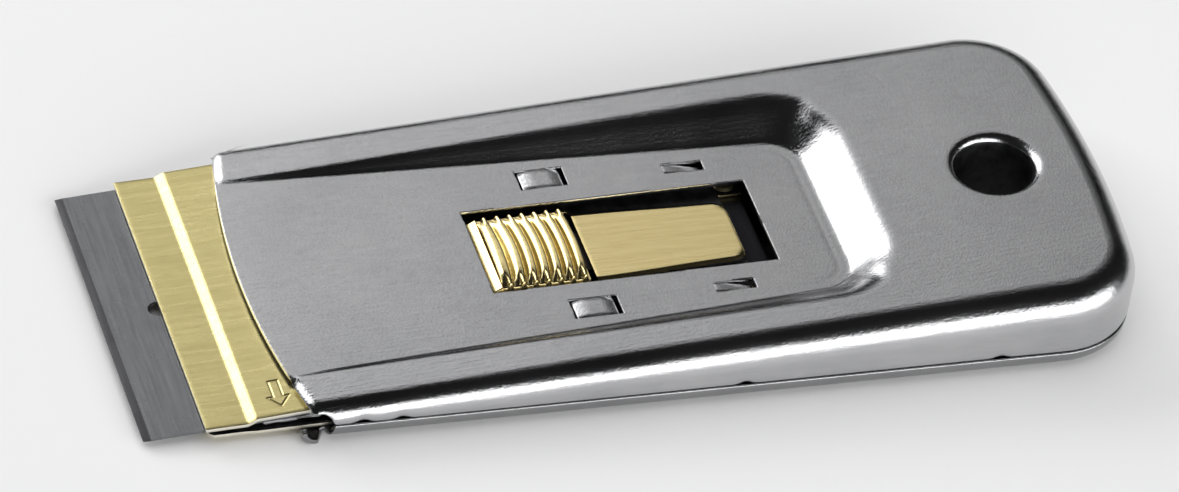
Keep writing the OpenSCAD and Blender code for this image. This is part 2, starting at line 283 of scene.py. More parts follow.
def side_line(count, inset, start=None):
    """Near side of the case, inset, from the mouth or a given station to mid butt corner."""
    run = BUTT_CORNER_AT - CORNER_AT
    spread = (BUTT_HALF_W - FRONT_HALF_W) / run
    turn = math.atan(spread)
    s0 = float(mouth_s(FRONT_HALF_W - at(inset, CORNER_AT))) if start is None else start
    straight = count * 7 // 8
    pts, nrm = [], []
    for i in range(straight):
        s = s0 + (BUTT_CORNER_AT - s0) * i / straight
        y = -(FRONT_HALF_W + (s - CORNER_AT) * spread - at(inset, s))
        pts.append((s, y))
        nrm.append((-math.sin(turn), -math.cos(turn)))
    r = BUTT_CORNER_R - at(inset, BUTT_CORNER_AT)
    for i in range(count - straight + 1):
        a = math.radians(-90 + 45 * i / (count - straight))
        pts.append((BUTT_CORNER_AT + r * math.cos(a), -BUTT_CORNER_Y + r * math.sin(a)))
        nrm.append((math.cos(a), math.sin(a)))
    return np.array(pts), np.array(nrm)


def butt_line(count, inset):
    """Butt edge, inset, from the middle of the near corner to the middle of the far one."""
    part = count // 5
    inset = at(inset, CASE_END)
    pts, nrm = [], []

    def corner(sign, a0, a1, n, last):
        r = BUTT_CORNER_R - inset
        for i in range(n + last):
            a = math.radians(a0 + (a1 - a0) * i / n)
            pts.append((BUTT_CORNER_AT + r * math.cos(a), sign * BUTT_CORNER_Y + r * math.sin(a)))
            nrm.append((math.cos(a), math.sin(a)))

    turn = math.degrees(BUTT_TURN)
    corner(-1, -45, -turn, part, 0)
    crown = count - 2 * part
    for i in range(crown):
        a = math.radians(-turn + 2 * turn * i / crown)
        pts.append((CASE_END - BUTT_R + (BUTT_R - inset) * math.cos(a), (BUTT_R - inset) * math.sin(a)))
        nrm.append((math.cos(a), math.sin(a)))
    corner(1, turn, 45, part, 1)
    return np.array(pts), np.array(nrm)


def coons(south, east, west):
    """Grid of points filling four edges; the north edge mirrors the south one."""
    n, m = len(south), len(east)
    north = south * [1, -1]
    u = np.linspace(0, 1, n)[:, None, None]
    v = np.linspace(0, 1, m)[None, :, None]
    edges = (1 - v) * south[:, None] + v * north[:, None] + (1 - u) * west[None] + u * east[None]
    corners = ((1 - u) * (1 - v) * south[0] + (1 - u) * v * north[0]
               + u * (1 - v) * south[-1] + u * v * north[-1])
    return edges - corners


def wall_foot(s):
    """Lower edge of the side walls: at the seam, and notched up round behind the mouth."""
    r, centre = 1.25, CORNER_AT + 0.85
    over = np.clip(s - centre, 0, r)
    return SEAM_Z - 0.1 + np.maximum(0.1, np.sqrt(r * r - over * over))


def skirt_loop(count_side, count_butt, inset, start=None):
    """Points and outward normals of near side, butt and far side in one run."""
    side, side_n = side_line(count_side, inset, start)
    butt, butt_n = butt_line(count_butt, inset)
    far, far_n = side[::-1] * [1, -1], side_n[::-1] * [1, -1]
    return (np.concatenate([side, butt[1:-1], far]),
            np.concatenate([side_n, butt_n[1:-1], far_n]))


def cut_rectangle(bm, box):
    """Cuts a rectangle, given as from, to, from, to in stations, out of a surface."""
    x0, x1, y0, y1 = [v * MM for v in (box[0] + EDGE_X, box[1] + EDGE_X, box[2], box[3])]
    margin = 0.8 * MM
    for co, no in (((x0, 0, 0), (1, 0, 0)), ((x1, 0, 0), (1, 0, 0)),
                   ((0, y0, 0), (0, 1, 0)), ((0, y1, 0), (0, 1, 0))):
        near = [f for f in bm.faces if x0 - margin < f.calc_center_median().x < x1 + margin
                and y0 - margin < f.calc_center_median().y < y1 + margin]
        geom = near + list({e for f in near for e in f.edges} | {v for f in near for v in f.verts})
        bmesh.ops.bisect_plane(bm, geom=geom, plane_co=co, plane_no=no, dist=1e-7)
    inside = [f for f in bm.faces if x0 < f.calc_center_median().x < x1
              and y0 < f.calc_center_median().y < y1]
    bmesh.ops.delete(bm, geom=inside, context="FACES")


def cut_hole(bm, centre_s, radius, rings):
    """Opens a round hole and rolls its edge through rings of (radius, drop)."""
    cx = (centre_s + EDGE_X) * MM
    r = radius * MM
    inside = [f for f in bm.faces if any(math.hypot(v.co.x - cx, v.co.y) < r * 1.01 for v in f.verts)]
    bmesh.ops.delete(bm, geom=inside, context="FACES")
    edge = [e for e in bm.edges if e.is_boundary
            and all(math.hypot(v.co.x - cx, v.co.y) < r * 1.2 for v in e.verts)]
    for v in {v for e in edge for v in e.verts}:
        away = Vector((v.co.x - cx, v.co.y)).normalized()
        v.co.x = cx + away.x * r
        v.co.y = away.y * r
        v.co.z = rail_z(v.co.x / MM - EDGE_X) * MM
    for ring_r, drop in rings:
        made = bmesh.ops.extrude_edge_only(bm, edges=edge)["geom"]
        edge = [g for g in made if isinstance(g, bmesh.types.BMEdge)]
        for face in (g for g in made if isinstance(g, bmesh.types.BMFace)):
            # collar faces deeper than 0.95 mm take material 1, the painted shade
            face.material_index = int(drop > 0.95)
        for v in {v for e in edge for v in e.verts}:
            away = Vector((v.co.x - cx, v.co.y)).normalized()
            v.co.x = cx + away.x * ring_r * MM
            v.co.y = away.y * ring_r * MM
            top = rail_z(v.co.x / MM - EDGE_X)
            v.co.z = (top - drop if drop < 5 else UNDERSIDE + 0.6) * MM


def strip(bm, s_range, y_range, height, steps):
    """A thin strip of panel sheet whose height follows the station."""
    rows = []
    for s in np.linspace(*s_range, steps):
        z = leaf_z(s) + PANEL_LIFT - height(s)
        rows.append([bm.verts.new(((s + EDGE_X) * MM, y * MM, z * MM)) for y in np.linspace(*y_range, 5)])
    for a, b in zip(rows, rows[1:]):
        for k in range(4):
            bm.faces.new((a[k], b[k], b[k + 1], a[k + 1]))


def saddle_drop(s):
    """The saddle strip is flush at its middle and curves down to both ends."""
    half = (SADDLE[1] - SADDLE[0]) / 2
    t = abs(s - (SADDLE[0] + SADDLE[1]) / 2) / half
    return 0.8 * max(0.0, t - 0.3) ** 1.5


def tongue_drop(s):
    t = (s - TONGUE[0]) / (TONGUE[1] - TONGUE[0])
    return 0.85 * max(0.0, t) ** 1.3


def tuck_in(ring, normal, foot):
    """Draws the lowest part of the wall inwards, most of all at the crimp marks along the seam."""
    reach = np.clip(1 - (ring[:, 2] - foot) / 1.3, 0, 1)
    depth = 0
    for at_s in CRIMPS_AT:
        depth = depth + np.exp(-((ring[:, 0] - at_s) / 0.75) ** 2)
    ring[:, :2] -= normal * (0.2 * reach ** 8 + 0.36 * depth * reach ** 2)[:, None]
    return ring


def edge_and_wall(n_side, n_butt):
    """Rings from the rails' tops round the edge and down the wall to its foot."""
    arc, wall = 10, 8

    def turn(s):
        """How far the edge turns before the wall's foot cuts it off."""
        left = rail_z(s) - lead_drop(s, FRONT_HALF_W - edge_r(s)) - wall_foot(s) - 0.12
        return np.arccos(1 - np.clip(left / edge_r(s), 0.02, 1))

    inner, _ = skirt_loop(n_side, n_butt, edge_r)
    top = top_height(inner[:, 0], inner[:, 1])
    rings = [np.column_stack([inner, top])]
    for k in range(1, arc + 1):
        share = k / arc
        loop, normal = skirt_loop(n_side, n_butt, lambda s: edge_r(s) * (1 - np.sin(turn(s) * share)))
        drop = edge_r(loop[:, 0]) * (1 - np.cos(turn(loop[:, 0]) * share))
        rings.append(np.column_stack([loop, top - drop]))
    last = rings[-1]
    low = np.minimum(wall_foot(last[:, 0]), last[:, 2] - 0.08)
    for k in range(1, wall + 1):
        down = last.copy()
        down[:, 2] = last[:, 2] + (low - last[:, 2]) * k / wall
        rings.append(down)
    return rings[:1] + [tuck_in(ring, normal, low) for ring in rings[1:]]


def make_top_shell(material):
    n_side, n_butt = ((420, 150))
    side, _ = side_line(n_side, edge_r)
    butt, _ = butt_line(n_butt, edge_r)
    west_y = np.linspace(side[0][1], -side[0][1], len(butt))
    west = np.stack([mouth_s(west_y), west_y], 1)
    flat = coons(side, butt, west)
    rows, cols = flat.shape[:2]
    z = top_height(flat[..., 0], flat[..., 1])
    points = np.concatenate([flat, z[..., None]], 2).reshape(-1, 3)
    faces = grid_faces(rows, cols)
    skirt = edge_and_wall(n_side, n_butt)
    start = len(points)
    points = np.concatenate([points] + skirt)
    faces += grid_faces(len(skirt), len(skirt[0]), start, flip=True)
    obj = mesh("top_shell_skin", points, faces)

    bm = bmesh.new()
    bm.from_mesh(obj.data)
    bmesh.ops.remove_doubles(bm, verts=bm.verts, dist=1e-6)
    bmesh.ops.recalc_face_normals(bm, faces=bm.faces)
    cut_rectangle(bm, WINDOW)
    for m in (-1, 1):
        for box in (SADDLE, TONGUE):
            y0, y1 = sorted((m * box[2], m * box[3]))
            cut_rectangle(bm, (box[0], box[1], y0, y1))
    rings = [(HOLE_R + LIP_R * (1 - math.sin(a)), LIP_R * (1 - math.cos(a)))
             for a in np.linspace(0, math.radians(72), 9)[1:]]
    cut_hole(bm, HOLE_AT, HOLE_R + LIP_R, rings + [(HOLE_R, 1.0), (HOLE_R, 2.5), (HOLE_R, 9)])
    gap = 0.05
    for m in (-1, 1):
        y0, y1 = sorted((m * SADDLE[2], m * SADDLE[3]))
        strip(bm, (SADDLE[0] + 0.3, SADDLE[1] - 0.35), (y0 + gap, y1 - gap), saddle_drop, 25)
        y0, y1 = sorted((m * TONGUE[2], m * TONGUE[3]))
        strip(bm, (TONGUE[0] - 0.05, TONGUE[1] - 0.15), (y0 + 0.12, y1 - 0.12), tongue_drop, 17)
    bm.to_mesh(obj.data)
    bm.free()
    up = sum(p.normal.z * p.area for p in obj.data.polygons)
    if up < 0:
        obj.data.flip_normals()
    thicken(obj, material, SHEET_T, edge=0.09)
    return finish_piece(obj, material, "nickel_plate", "case", "top_shell")


def make_bottom_shell(material):
    n_side, n_butt = ((320, 120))
    corner_r, tuck = FLOOR_CORNER_R, 0.02

    def ring(inset, z):
        loop, _ = skirt_loop(n_side, n_butt, inset, FLOOR_FROM + 0.3 * (z - UNDERSIDE))
        return np.column_stack([loop, np.full(len(loop), z)])

    rings = [ring(corner_r + tuck, UNDERSIDE)]
    for a in np.linspace(0, math.pi / 2, 7)[1:]:
        rings.append(ring(tuck + corner_r * (1 - math.sin(a)), UNDERSIDE + corner_r * (1 - math.cos(a))))
    top = SEAM_Z - 0.05
    for a in np.linspace(0, math.pi / 2, 5):
        rings.append(ring(tuck + 0.2 * (1 - math.cos(a)), top - 0.2 * (1 - math.sin(a))))

    side, _ = side_line(n_side, corner_r + tuck, FLOOR_FROM)
    butt, _ = butt_line(n_butt, corner_r + tuck)
    west_y = np.linspace(side[0][1], -side[0][1], len(butt))
    west = np.stack([np.full(len(west_y), FLOOR_FROM), west_y], 1)
    flat = coons(side, butt, west)
    rows, cols = flat.shape[:2]
    points = np.concatenate([flat, np.full((rows, cols, 1), UNDERSIDE)], 2).reshape(-1, 3)
    faces = grid_faces(rows, cols)
    start = len(points)
    points = np.concatenate([points] + rings)
    faces += grid_faces(len(rings), len(rings[0]), start, flip=True)

    # bead rolled down under the mouth
    trough = []
    widen = BEAD_HALF_W - west_y[-1]
    for share in np.linspace(0, 1, 17):
        base = math.radians(228 + 80 * share)
        wide = west_y[-1] + widen * ramp(-base, -math.radians(306), -math.radians(285))
        y = np.linspace(-wide, wide, len(west_y))
        # the front lip stays below the carrier and rises only beside it
        a = base - math.radians(42) * ramp(np.abs(y), 19.9, 20.5) * (1 - share)
        trough.append(np.column_stack([BEAD_AT + BEAD_R * np.cos(a), y, BEAD_R + BEAD_R * np.sin(a)]))
    joint = np.ones(len(west_y))
    trough.append(np.column_stack([FLOOR_FROM * joint, west_y, UNDERSIDE * joint]))
    start = len(points)
    points = np.concatenate([points] + trough)
    faces += grid_faces(len(trough), len(west_y), start, flip=True)
    obj = mesh("bottom_shell_skin", points, faces)

    bm = bmesh.new()
    bm.from_mesh(obj.data)
    bmesh.ops.remove_doubles(bm, verts=bm.verts, dist=2e-6)
    bmesh.ops.dissolve_degenerate(bm, edges=bm.edges, dist=1e-6)
    bmesh.ops.recalc_face_normals(bm, faces=bm.faces)
    cut_floor_hole(bm)
    bm.to_mesh(obj.data)
    bm.free()
    if sum(p.normal.z * p.area for p in obj.data.polygons) > 0:
        obj.data.flip_normals()
    thicken(obj, material, SHEET_T, edge=0.04)
    return finish_piece(obj, material, "nickel_plate", "case", "bottom_shell")


def cut_floor_hole(bm):
    """Round hole in the floor, under the hang hole."""
    cx = (HOLE_AT + EDGE_X) * MM
    r = HOLE_R * MM
    inside = [f for f in bm.faces if any(math.hypot(v.co.x - cx, v.co.y) < r * 1.01 for v in f.verts)]
    bmesh.ops.delete(bm, geom=inside, context="FACES")
    for v in bm.verts:
        d = math.hypot(v.co.x - cx, v.co.y)
        if v.is_boundary and d < r * 1.25:
            v.co.x = cx + (v.co.x - cx) * r / d
            v.co.y *= r / d


# ---------------------------------------------------------------- carrier

def tilt(points, angle, lift):
    """Turns points up towards +X by an angle and lifts them."""
    p = np.asarray(points, float)
    c, s = math.cos(angle), math.sin(angle)
    return np.column_stack([p[:, 0] * c - p[:, 2] * s, p[:, 1], lift + p[:, 0] * s + p[:, 2] * c])


def on_slide(points):
    """From the carrier's own plane to the case."""
    return tilt(points, SLIDE_TILT, LEAF_Z0)


def on_blade(points):
    return on_slide(tilt(points, math.radians(BLADE_DROOP), BLADE_EDGE_Z))


def rounded_path(s, corners, width):
    """Heights along a bent line with its bends rounded over a width."""
    xs, zs = zip(*corners)
    total = 0
    for t in np.linspace(-0.5, 0.5, 9):
        total = total + np.interp(s + t * width, xs, zs)
    return total / 9


def cells(name, xs, ys, height, keep):
    """A surface of small cells over a plan: height(s, y) and keep(s, y) decide its shape."""
    gx, gy = np.meshgrid(xs, ys, indexing="ij")
    z = height(gx, gy)
    points = np.stack([gx, gy, z], 2).reshape(-1, 3)
    n = len(ys)
    mid_x = (xs[1:] + xs[:-1]) / 2
    mid_y = (ys[1:] + ys[:-1]) / 2
    wanted = keep(mid_x[:, None], mid_y[None, :])
    faces = []
    for i, j in zip(*np.nonzero(wanted)):
        a = i * n + j
        faces.append((a, a + n, a + n + 1, a + 1))
    obj = mesh(name, on_slide(points), faces)
    bm = bmesh.new()
    bm.from_mesh(obj.data)
    loose = [v for v in bm.verts if not v.link_faces]
    bmesh.ops.delete(bm, geom=loose, context="VERTS")
    bm.to_mesh(obj.data)
    bm.free()
    return obj


def lines(*stops, step):
    """Grid lines through all the stops, none further apart than the step."""
    out = [stops[0]]
    for a, b in zip(stops, stops[1:]):
        n = max(1, int(math.ceil((b - a) / step)))
        out += [a + (b - a) * (i + 1) / n for i in range(n)]
    return np.array(out)


def plateau_side(s, y):
    """How far the tail drops from its plateau to its flanges, at a point."""
    corner = 1.6
    half = 5.05 - 0.7 * ramp(s, 52, 70)
    qx = np.maximum(NOSE_END - 8 - s, s - (PLATEAU_END - corner))
    qy = np.abs(y) - (half - corner)
    d = np.hypot(np.clip(qx, 0, None), np.clip(qy, 0, None)) + np.minimum(np.maximum(qx, qy), 0) - corner
    return 0.5 * ramp(d, -0.25, 0.75)


def arrow_line(s, y):
    """Distance from the middle of the stamped arrow's outline."""
    cs, cy = 14.75, -16.3
    stem = [(cs + 0.5, cy + 1.9), (cs + 0.5, cy - 0.5), (cs + 1.15, cy - 0.5), (cs, cy - 1.95),
            (cs - 1.15, cy - 0.5), (cs - 0.5, cy - 0.5), (cs - 0.5, cy + 1.9), (cs + 0.5, cy + 1.9)]
    best = np.full(np.broadcast(s, y).shape, 9.0)
    for (x0, y0), (x1, y1) in zip(stem, stem[1:]):
        t = np.clip(((s - x0) * (x1 - x0) + (y - y0) * (y1 - y0)) / ((x1 - x0) ** 2 + (y1 - y0) ** 2), 0, 1)
        best = np.minimum(best, np.hypot(s - x0 - t * (x1 - x0), y - y0 - t * (y1 - y0)))
    return best


def upper_leaf_height(s, y):
    joggle = ((0, -1.2), (NOSE_LIP_AT, -1.08), (10.87, -0.98), (11.83, -0.425), (18, 0), (99, 0))
    nose = rounded_path(s, joggle, 0.32)
    stamp = -0.07 * (1 - ramp(arrow_line(s, y), 0.03, 0.16))
    side = plateau_side(s, y) * ramp(s, 27.0, 29.0)
    return nose + stamp - side


def upper_leaf_side_face(face):
    """True on the tail's flanges and the slopes up to its plateau, which stay dark as painted shade."""
    s, y = face.center.x / MM - EDGE_X, face.center.y / MM
    return bool(plateau_side(np.array(s), np.array(y)) > 0.25)


def make_upper_leaf(material):
    fine = 0.1
    xs = np.unique(np.round(np.concatenate([
        lines(NOSE_LIP_AT, 10.5, step=0.5), lines(10.5, 12.4, step=0.06),
        lines(12.4, 17.2, step=fine / 2), lines(17.2, NOSE_END, step=0.4),
        lines(NOSE_END, 40.4, 52.55, step=0.6), lines(52.55, 66, step=0.4),
        lines(66, PLATEAU_END, 72, step=0.15)]), 4))
    ys = np.unique(np.round(np.concatenate([
        lines(-19.6, -18.6, step=0.5), lines(-18.6, -13.8, step=fine / 2),
        lines(-13.8, -12.4, step=0.4), lines(-12.4, -11, -8.6, -6.18, step=0.4),
        lines(-6.18, -4, step=0.12), lines(-4, 4, step=0.5), lines(4, 6.18, step=0.12),
        lines(6.18, 8.6, 11, 19.6, step=0.5)]), 4))

    def keep(s, y):
        nose = s < NOSE_END
        tail = (np.abs(y) < 8.6) | ((s > 68.5) & (np.abs(y) < 11))
        window = (s > 40.4) & (s < 52.55) & (np.abs(y) < 6.18)
        notch = (s > PLATEAU_END) & (np.abs(y) < 6)
        return (nose | tail) & ~window & ~notch

    obj = cells("upper_leaf_skin", xs, ys, upper_leaf_height, keep)
    for face in obj.data.polygons:
        if face.center.x / MM > 30 + EDGE_X:
            # tail flanges and slopes take material 1, painted shade; the rest of the tail takes material 3,
            # the brass with painted light
            face.material_index = 1 if upper_leaf_side_face(face) else 3
    thicken(obj, material, LEAF_T, edge=0.03, rim=2)
    return finish_piece(obj, material, "brass_sheet", "carrier", "upper_leaf")


def make_lower_leaf(material):
    top = -LEAF_T
    path = ((0, -1.97), (10.87, -1.97), (11.83, -2.07), (20.2, -2.07), (23.2, top), (99, top))
    corner = 0.75

    def height(s, y):
        z = rounded_path(s, path, 0.5)
        bulge = 0.04 * ramp(np.abs(y), 19.0, LOWER_HALF_W)
        return z - bulge * (1 - ramp(s, 18, 22))

    xs = np.unique(np.round(np.concatenate([
        lines(LOWER_LIP_AT, 7.6, step=0.05), lines(7.6, NOSE_END, step=0.3)]), 4))
    ys = np.unique(np.round(np.concatenate([
        lines(-LOWER_HALF_W, -18.8, step=0.05), lines(-18.8, 18.8, step=0.8),
        lines(18.8, LOWER_HALF_W, step=0.05)]), 4))

    def keep(s, y):
        qx, qy = LOWER_LIP_AT + corner - s, np.abs(y) - (LOWER_HALF_W - corner)
        return ~((qx > 0) & (qy > 0) & (np.hypot(qx, qy) > corner))

    obj = cells("lower_leaf_skin", xs, ys, height, keep)
    # top faces take the first material, painted shade under the blade; the underside takes the second
    thicken(obj, material, LEAF_T, edge=0.03, rim=2)
    return finish_piece(obj, material, "brass_sheet", "carrier", "lower_leaf")


def extrude_path(name, section, y_from, y_to, count, place, wobble=None):
    """A closed section in (s, z), carried from one y to another and capped."""
    ring = len(section)
    points = []
    for y in np.linspace(y_from, y_to, count):
        sec = np.array([[s, y, z] for s, z in section])
        if wobble:
            sec[:, 2] += wobble(sec[:, 0], y)
        points.append(sec)
    faces = []
    for k in range(count - 1):
        for i in range(ring):
            a, b = k * ring + i, k * ring + (i + 1) % ring
            faces.append((a, b, b + ring, a + ring))
    faces.append(tuple(range(ring))[::-1])
    faces.append(tuple((count - 1) * ring + i for i in range(ring)))
    obj = mesh(name, place(np.concatenate(points)), faces)
    bm = bmesh.new()
    bm.from_mesh(obj.data)
    bmesh.ops.recalc_face_normals(bm, faces=bm.faces)
    bm.to_mesh(obj.data)
    bm.free()
    return obj


def make_blade(material):
    half_w, t = BLADE_HALF_W, 0.115
    hone, grind, back = 0.32, 0.85, 18.75
    xs = np.unique(np.round(np.concatenate([
        [0, 0.02, hone, grind], lines(grind, 5.1, step=0.6), lines(5.1, 7.7, step=0.09),
        lines(7.7, back, step=0.8)]), 4))
    ys = np.unique(np.round(np.concatenate([
        lines(-half_w, -1.3, step=0.9), lines(-1.3, 1.3, step=0.09), lines(1.3, half_w, step=0.9)]), 4))
    gx, gy = np.meshgrid(xs, ys, indexing="ij")
    z = np.interp(gx, (0, hone, grind, 99), (0.004, 0.062, t, t))
    n = len(ys)
    both = []
    faces = []
    for side in (1, -1):
        base = len(both) * len(xs) * n
        both.append(np.stack([gx, gy, side * z], 2).reshape(-1, 3))
        faces += grid_faces(len(xs), n, base, flip=side < 0)
    obj = mesh("blade_steel", on_blade(np.concatenate(both)), faces)
    bm = bmesh.new()
    bm.from_mesh(obj.data)
    centre = Vector(on_blade([(6.4, 0, 0)])[0]) + Vector((EDGE_X, 0, 0))
    centre *= MM
    r = 1.1 * MM
    gone = [f for f in bm.faces if any((v.co - centre).length < r * 1.02 for v in f.verts)]
    bmesh.ops.delete(bm, geom=gone, context="FACES")
    inner = []
    for v in bm.verts:
        away = v.co - centre
        away.z = 0
        if v.is_boundary and away.length < r * 1.4:
            v.co.x = centre.x + away.x / away.length * r
            v.co.y = away.y / away.length * r
            inner.append(v)
    edges = [e for e in bm.edges if e.is_boundary]
    bmesh.ops.bridge_loops(bm, edges=[e for e in edges if all(v in inner for v in e.verts)])
    bmesh.ops.bridge_loops(bm, edges=[e for e in edges if not any(v in inner for v in e.verts)])
    bmesh.ops.recalc_face_normals(bm, faces=bm.faces)
    bm.to_mesh(obj.data)
    bm.free()
    for face in obj.data.polygons:
        # the honed bevel takes material 1, painted darker as shade
        face.material_index = int(face.center.x / MM - EDGE_X < grind - 0.02)
    smooth(obj, 5)
    return finish_piece(obj, material, "blade_steel", "carrier", "blade")


def make_spine(material):
    front, back = 12.7, BLADE_DEPTH
    half, inner = 0.46, 0.118
    wave = random.Random(5)
    phase = [wave.uniform(0, 6.28) for _ in range(3)]

    def wobble(s, y):
        ends = ramp(-y, 17.2, BLADE_HALF_W) + ramp(y, 17.2, BLADE_HALF_W)
        waves = 0.07 * np.sin(s * 2.1 + phase[0]) + 0.03 * np.sin(s * 4.7 + phase[1])
        return ends * waves * ramp(s, front, 14)

    outer = [(front, -inner - 0.01), (front + 0.05, -half + 0.1), (front + 0.2, -half)]
    outer += [(s, -half) for s in np.linspace(front + 0.6, back - half, 16)]
    outer += [(back - half + half * math.cos(a), half * math.sin(a))
              for a in np.linspace(-math.pi / 2, math.pi / 2, 9)[1:-1]]
    outer += [(s, half) for s in np.linspace(back - half, front + 0.6, 16)]
    outer += [(front + 0.2, half), (front + 0.05, half - 0.1), (front, inner + 0.01)]
    gap = [(s, inner) for s in np.linspace(front + 0.3, back - 0.3, 15)]
    gap += [(s, -inner) for s in np.linspace(back - 0.3, front + 0.3, 15)]
    section = outer + gap
    obj = extrude_path("blade_spine_strip", section, -BLADE_HALF_W, BLADE_HALF_W, 60, on_blade, wobble)
    smooth(obj, 35)
    return finish_piece(obj, material, "spine_steel", "carrier", "blade_spine")


# ---------------------------------------------------------------- thumb slide

def rib_profile(u, tapered):
    """Section of one rib along the slide: broad with a round crest, or narrow towards its ends."""
    round_crest = ((0, -0.08), (0.1, 0.06), (0.28, 0.3), (0.44, 0.46), (0.6, 0.545), (0.8, 0.58),
                   (1.0, 0.575), (1.14, 0.53), (1.24, 0.4), (1.3, 0.12), (1.35, -0.12), (1.42, -0.1))
    point = ((0, 0), (0.55, 0.02), (0.74, 0.44), (0.86, 0.56),
             (1.0, 0.55), (1.1, 0.44), (1.22, 0.02), (1.42, 0))
    shapes = []
    for shape in (round_crest, point):
        xs, zs = zip(*shape)
        shapes.append(sum(np.interp(u + t, xs, zs) for t in np.linspace(-0.07, 0.07, 5)) / 5)
    return shapes[0] * (1 - tapered) + shapes[1] * tapered


def slide_height(s, y):
    """Top of the thumb slide: front facet, crease, bowed ribs on an arched base."""
    half, pitch, first = SLIDE_HALF_W, RIB_PITCH, RIBS_FROM
    reach = np.clip(np.abs(y) / half, 0, 1)
    arch = -0.4 + 0.85 * np.clip((half - np.abs(y)) / 0.55, 0, 1) + 0.5 * (1 - reach ** 2)
    tapered = ramp(reach, 0.6, 0.92)
    bow = 0.5 * (1 - reach ** 2) * ramp(s, 42.2, 44.6) * (1 - 0.5 * ramp(s, 48, 51.5))
    u = np.clip(s - first - bow, 0, RIB_COUNT * pitch)
    rib = rib_profile(np.mod(u, pitch) * 1.42 / pitch, tapered)
    inside = ramp(s, 42.05, 42.1) * (1 - ramp(s, 51.45, 51.6))
    z = arch + rib * inside * (1 - ramp(reach, 0.88, 1)) - 0.12
    z = np.where(s > 51.5, np.minimum(z, 0.3), z)
    facet = 0.05 + 0.6 * (s - 41.1) + np.minimum(arch - 0.45, 0)
    crease = (s >= 42.0) & (s < 42.1)
    z = np.where(s < 42.0, facet, z)
    return np.where(crease, np.minimum(z, 0.1), z)


def make_thumb_slide(material):
    step = 0.05
    xs = np.unique(np.round(np.concatenate([
        lines(41.1, 41.98, step=0.15), [42.0, 42.02, 42.08, 42.1], lines(42.1, 51.7, step=step)]), 4))
    ys = np.unique(np.round(np.concatenate([
        lines(-SLIDE_HALF_W, -4.4, step=0.06), lines(-4.4, 4.4, step=0.25),
        lines(4.4, SLIDE_HALF_W, step=0.06)]), 4))
    gx, gy = np.meshgrid(xs, ys, indexing="ij")
    n, m = len(xs), len(ys)
    top = np.stack([gx, gy, slide_height(gx, gy)], 2).reshape(-1, 3)
    bottom = np.stack([gx, gy, np.full(gx.shape, -0.55)], 2).reshape(-1, 3)
    faces = grid_faces(n, m) + grid_faces(n, m, n * m, flip=True)
    obj = mesh("thumb_slide_ribbed", on_slide(np.concatenate([top, bottom])), faces)
    bm = bmesh.new()
    bm.from_mesh(obj.data)
    bmesh.ops.bridge_loops(bm, edges=[e for e in bm.edges if e.is_boundary])
    bmesh.ops.recalc_face_normals(bm, faces=bm.faces)
    bm.to_mesh(obj.data)
    bm.free()
    smooth(obj, 55)
    return finish_piece(obj, material, "brass_bright", "thumb", "thumb_slide")


# ---------------------------------------------------------------- materials

class Nodes:
    """Small helper round a material's node tree."""

    def __init__(self, name):
        self.mat = bpy.data.materials.new(name)
        self.mat.use_nodes = True
        self.tree = self.mat.node_tree
        self.bsdf = self.tree.nodes["Principled BSDF"]
        coord = self.add("ShaderNodeTexCoord")
        self.where = self.add("ShaderNodeMapping", vector=coord.outputs["Object"])
        self.where.inputs["Scale"].default_value = (1000, 1000, 1000)

    def add(self, kind, vector=None, **values):
        node = self.tree.nodes.new(kind)
        if vector is not None:
            self.link(vector, node.inputs["Vector"])
        for key, value in values.items():
            setattr(node, key, value)
        return node

    def link(self, a, b):
        self.tree.links.new(a, b)

    def stretched(self, x, y, z):
        node = self.add("ShaderNodeMapping", vector=self.where.outputs["Vector"])
        node.inputs["Scale"].default_value = (x, y, z)
        return node.outputs["Vector"]

    def noise(self, vector, scale, detail=3.0, rough=0.55):
        node = self.add("ShaderNodeTexNoise", vector=vector)
        node.inputs["Scale"].default_value = scale
        node.inputs["Detail"].default_value = detail
        node.inputs["Roughness"].default_value = rough
        return node.outputs["Fac"]

    def span(self, value, low, high, from_low=0.3, from_high=0.7):
        node = self.add("ShaderNodeMapRange")
        self.link(value, node.inputs["Value"])
        node.inputs["From Min"].default_value = from_low
        node.inputs["From Max"].default_value = from_high
        node.inputs["To Min"].default_value = low
        node.inputs["To Max"].default_value = high
        return node.outputs["Result"]

    def mix(self, factor, a, b):
        node = self.add("ShaderNodeMix", data_type="RGBA")
        self.link(factor, node.inputs["Factor"])
        node.inputs["A"].default_value = (*a, 1)
        node.inputs["B"].default_value = (*b, 1)
        return node.outputs["Result"]

    def math(self, kind, a, b):
        node = self.add("ShaderNodeMath", operation=kind)
        for socket, value in zip(node.inputs, (a, b)):
            if isinstance(value, (int, float)):
                socket.default_value = value
            else:
                self.link(value, socket)
        return node.outputs["Value"]

    def surface(self, colour, roughness, height, depth_mm):
        self.bsdf.inputs["Metallic"].default_value = 1.0
        self.link(colour, self.bsdf.inputs["Base Color"])
        self.link(roughness, self.bsdf.inputs["Roughness"])
        bump = self.add("ShaderNodeBump")
        bump.inputs["Strength"].default_value = 1.0
        bump.inputs["Distance"].default_value = depth_mm * MM
        self.link(height, bump.inputs["Height"])
        self.link(bump.outputs["Normal"], self.bsdf.inputs["Normal"])
        return self.mat


def painted_shade_inside():
    """Painted shade: dark, unpolished metal for the shells' inner side and other faces that lie in shadow.
    """
    m = Nodes("inside_painted_shade")
    here = m.where.outputs["Vector"]
    mottle = m.noise(here, 0.7, 4)
    tone = m.mix(m.span(mottle, 0, 1), (0.035, 0.035, 0.038), (0.085, 0.085, 0.085))
    return m.surface(tone, m.span(mottle, 0.4, 0.6), mottle, 0.01)


